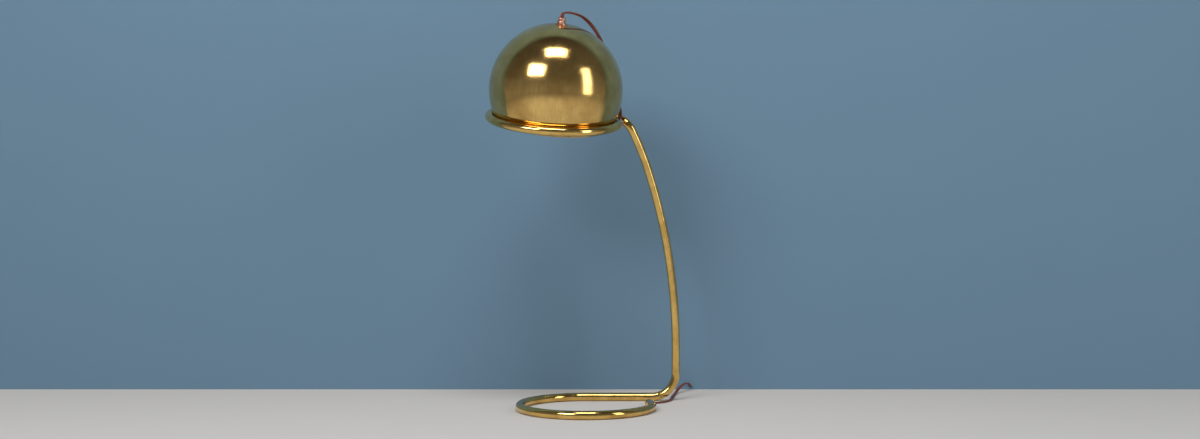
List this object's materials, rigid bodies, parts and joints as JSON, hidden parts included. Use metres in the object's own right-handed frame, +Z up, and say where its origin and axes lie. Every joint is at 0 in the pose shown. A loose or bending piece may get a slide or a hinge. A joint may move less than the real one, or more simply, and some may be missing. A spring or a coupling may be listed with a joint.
{
  "type": "dome shade desk lamp",
  "caption": "Desk lamp of one bent brass tube: ring base, curved stem and a ring that holds a loose spun brass dome shade.",
  "frame": {"origin": "middle of the base ring, on the table", "axes": "+Z up, -Y towards the viewer, +X to the side where the stem stands"},
  "size_m": [0.4457, 0.4507, 0.6032],
  "materials": {
    "brass": "polished brass tube",
    "dome_brass": "polished spun brass, inside satin",
    "copper": "polished copper-toned fitting",
    "holder_brass": "satin brass",
    "socket_brass": "bright contact brass",
    "steel": "zinc-plated steel",
    "bulb_cap": "plain aluminium",
    "bulb_glass": "frosted glass",
    "liner": "pressed fibre sleeve",
    "block": "moulded phenolic",
    "knob": "moulded phenolic",
    "bush": "soft plastic",
    "cord": "brown vinyl twin cord",
    "plug": "moulded brown vinyl",
    "blades": "plain brass"
  },
  "bodies": {
    "stand": {"base_end_bush": "bush", "base_ring_tube": "brass", "cord_coil": "cord", "inner_cord": "cord", "outlet_cord": "cord", "plug_blades": "blades", "plug_body": "plug", "shade_cord": "cord", "shade_ring_end_bush": "bush", "shade_ring_tube": "brass", "stem_tube": "brass", "tail_cord": "cord"},
    "shade": {"bulb_cap": "bulb_cap", "bulb_glass": "bulb_glass", "cap_set_screw": "steel", "centre_contact": "socket_brass", "cord_gland": "copper", "dome": "dome_brass", "dome_inner_washer": "steel", "dome_top_washer": "copper", "holder_base_block": "block", "holder_cap": "holder_brass", "holder_liner": "liner", "holder_shell": "holder_brass", "locknut": "steel", "nipple": "steel", "screw_socket": "socket_brass", "terminal_screws": "steel"},
    "switch": {"switch_shaft": "steel", "switch_knob": "knob"}
  },
  "joints": [
    {"name": "shade_tilt", "type": "hinge", "parent": "stand", "child": "shade", "pos_m": [-0.04597, 0.01279, 0.48445], "axis": [1, 0, 0], "range_deg": [-7, 3], "deforming": ["shade_cord"]},
    {"name": "switch_turn", "type": "hinge", "parent": "shade", "child": "switch", "pos_m": [-0.01981, -0.00716, 0.54749], "axis": [0.9954, 0, -0.0958], "continuous": true}
  ]
}
